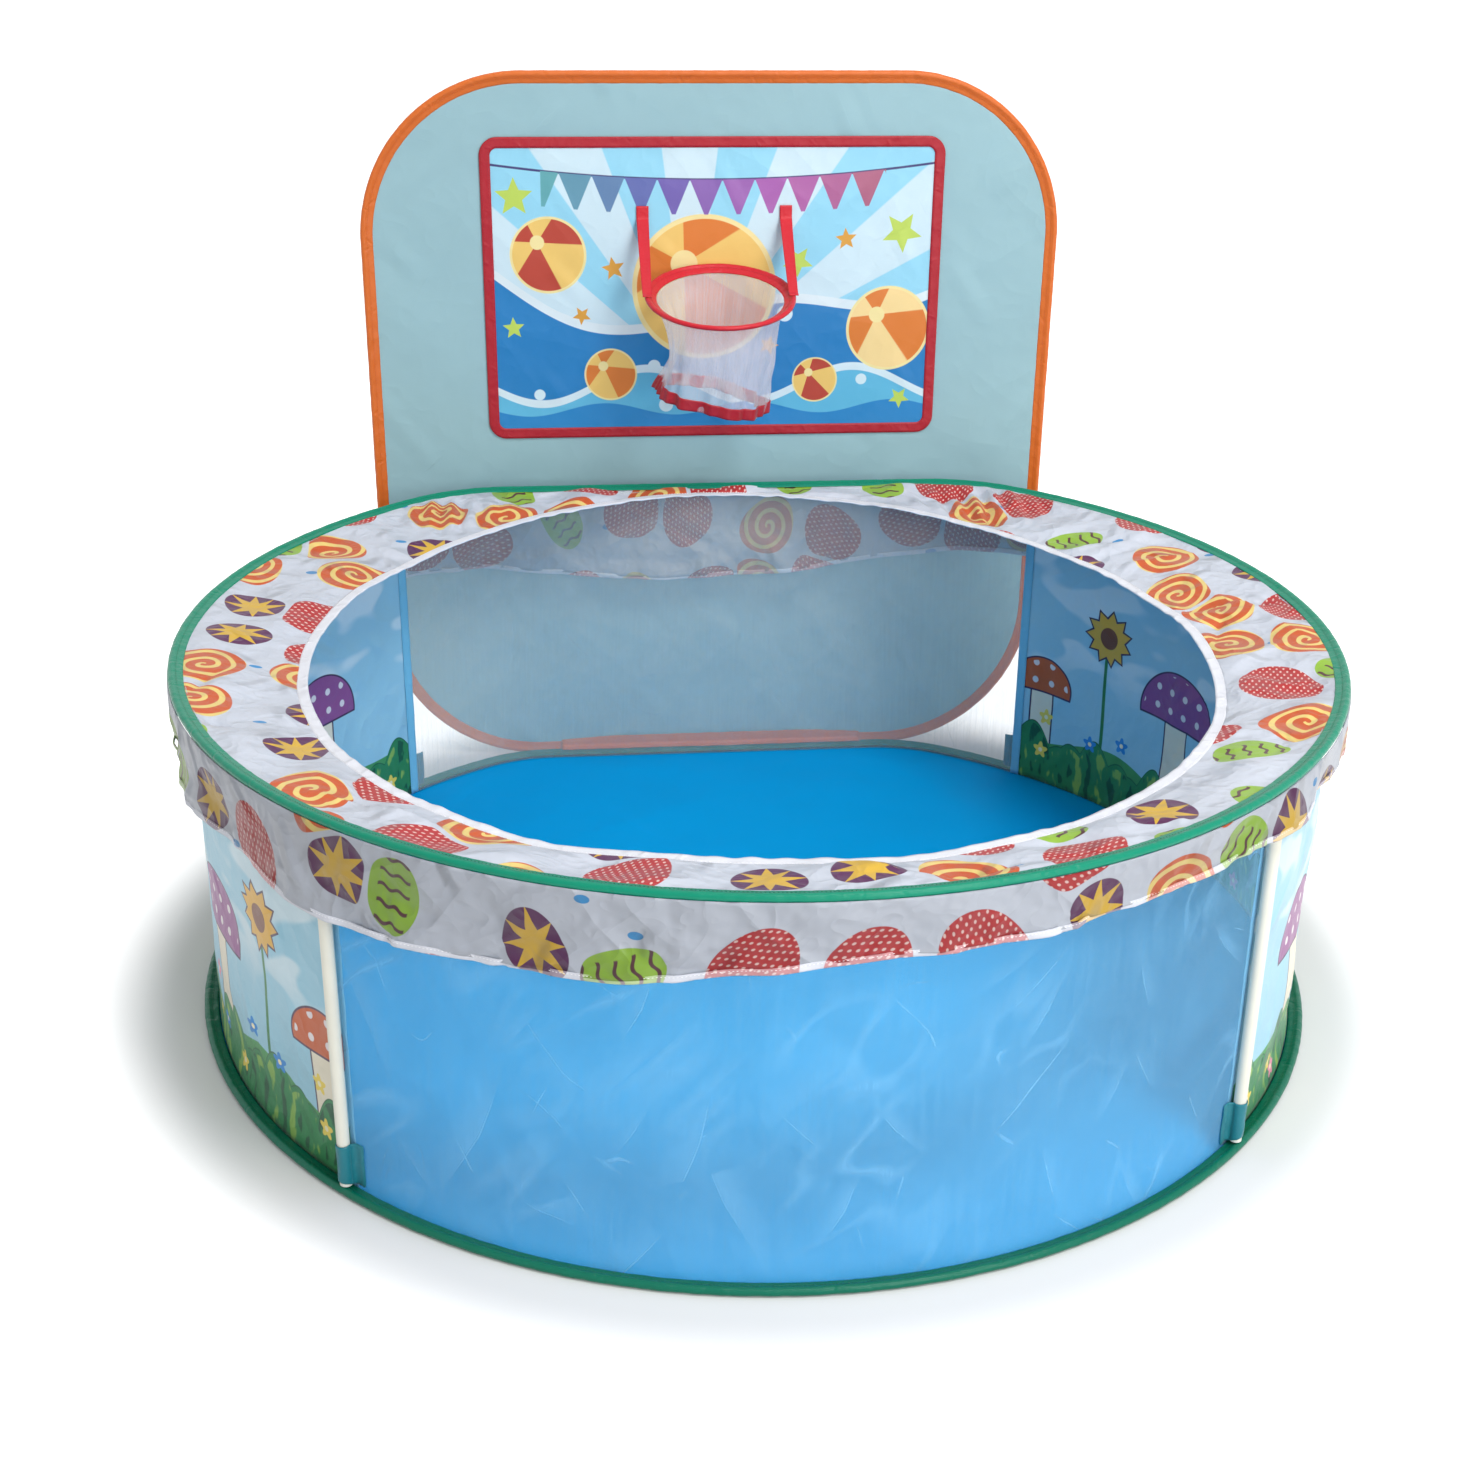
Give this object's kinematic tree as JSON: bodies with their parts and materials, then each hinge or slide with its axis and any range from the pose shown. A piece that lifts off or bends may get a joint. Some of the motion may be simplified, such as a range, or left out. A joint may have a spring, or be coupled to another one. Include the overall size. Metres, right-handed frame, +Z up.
{
  "type": "pop-up ball pool",
  "caption": "Round pop-up ball pool with fabric and mesh walls, an inward top cover, a printed skirt and a tall rear backboard with a hoop and net.",
  "frame": {"origin": "on the ground, at the centre of the round of the two rings, on the underside of the floor sheet", "axes": "+Z up, +Y towards the backboard at the rear, +X to the right as seen from the front"},
  "size_m": [1.2133, 1.1543, 0.8886],
  "materials": {
    "floor_cloth": "plain-weave polyester",
    "ring_tape": "folded polyester tape",
    "spring_wire": "drawn wire",
    "ferrule_metal": "crimped",
    "pole_plastic": "satin",
    "plug_plastic": "moulded",
    "pocket_cloth": "plain-weave polyester",
    "seam_tape": "folded polyester tape",
    "mesh": "sheer knitted mesh",
    "side_print": "printed polyester",
    "cover_print": "printed polyester",
    "white_hem": "folded polyester",
    "board_cloth": "plain-weave polyester",
    "board_tape": "folded polyester tape",
    "art_print": "printed polyester",
    "red_tape": "folded polyester tape",
    "hoop_tape": "folded polyester tape",
    "net_mesh": "fine white netting"
  },
  "bodies": {
    "pool": {"floor_sheet": "floor_cloth", "bottom_ring_wire": "spring_wire", "bottom_ring_ferrule": "ferrule_metal", "bottom_ring_binding": "ring_tape", "top_ring_wire": "spring_wire", "top_ring_ferrule": "ferrule_metal", "top_ring_binding": "ring_tape", "pole_front_left": "pole_plastic", "pole_front_right": "pole_plastic", "pole_back_left": "pole_plastic", "pole_back_right": "pole_plastic", "pole_end_plugs": "plug_plastic", "lower_pocket_front_left": "pocket_cloth", "lower_pocket_front_right": "pocket_cloth", "lower_pocket_back_left": "pocket_cloth", "lower_pocket_back_right": "pocket_cloth", "upper_pocket_front_left": "pocket_cloth", "upper_pocket_front_right": "pocket_cloth", "upper_pocket_back_left": "pocket_cloth", "upper_pocket_back_right": "pocket_cloth", "corner_seam_front_left": "seam_tape", "corner_seam_front_right": "seam_tape", "corner_seam_back_left": "seam_tape", "corner_seam_back_right": "seam_tape", "front_mesh_wall": "mesh", "back_mesh_wall": "mesh", "left_side_panel": "side_print", "right_side_panel": "side_print", "top_cover": "cover_print", "top_cover_hem": "white_hem", "valance": "cover_print", "valance_hem": "white_hem", "board_hinge_tape": "board_tape"},
    "board": {"board_sheet": "board_cloth", "board_wire": "spring_wire", "board_ferrule": "ferrule_metal", "board_binding": "board_tape", "art_panel": "art_print", "art_binding": "red_tape", "hoop_strap_left": "hoop_tape", "hoop_strap_right": "hoop_tape"},
    "hoop": {"hoop_wire": "spring_wire", "hoop_ferrule": "ferrule_metal", "hoop_binding": "hoop_tape", "net": "net_mesh", "net_hem": "red_tape"}
  },
  "joints": [
    {"name": "board_fold", "type": "hinge", "parent": "pool", "child": "board", "pos_m": [0, 0.5443, 0.0045], "axis": [-1, 0, 0], "range_deg": [0, 90], "deforming": ["board_hinge_tape"]},
    {"name": "hoop_tilt", "type": "hinge", "parent": "board", "child": "hoop", "pos_m": [0, 0.5398, 0.657], "axis": [-1, 0, 0], "range_deg": [0, 90], "deforming": ["hoop_strap_left", "hoop_strap_right"]}
  ]
}
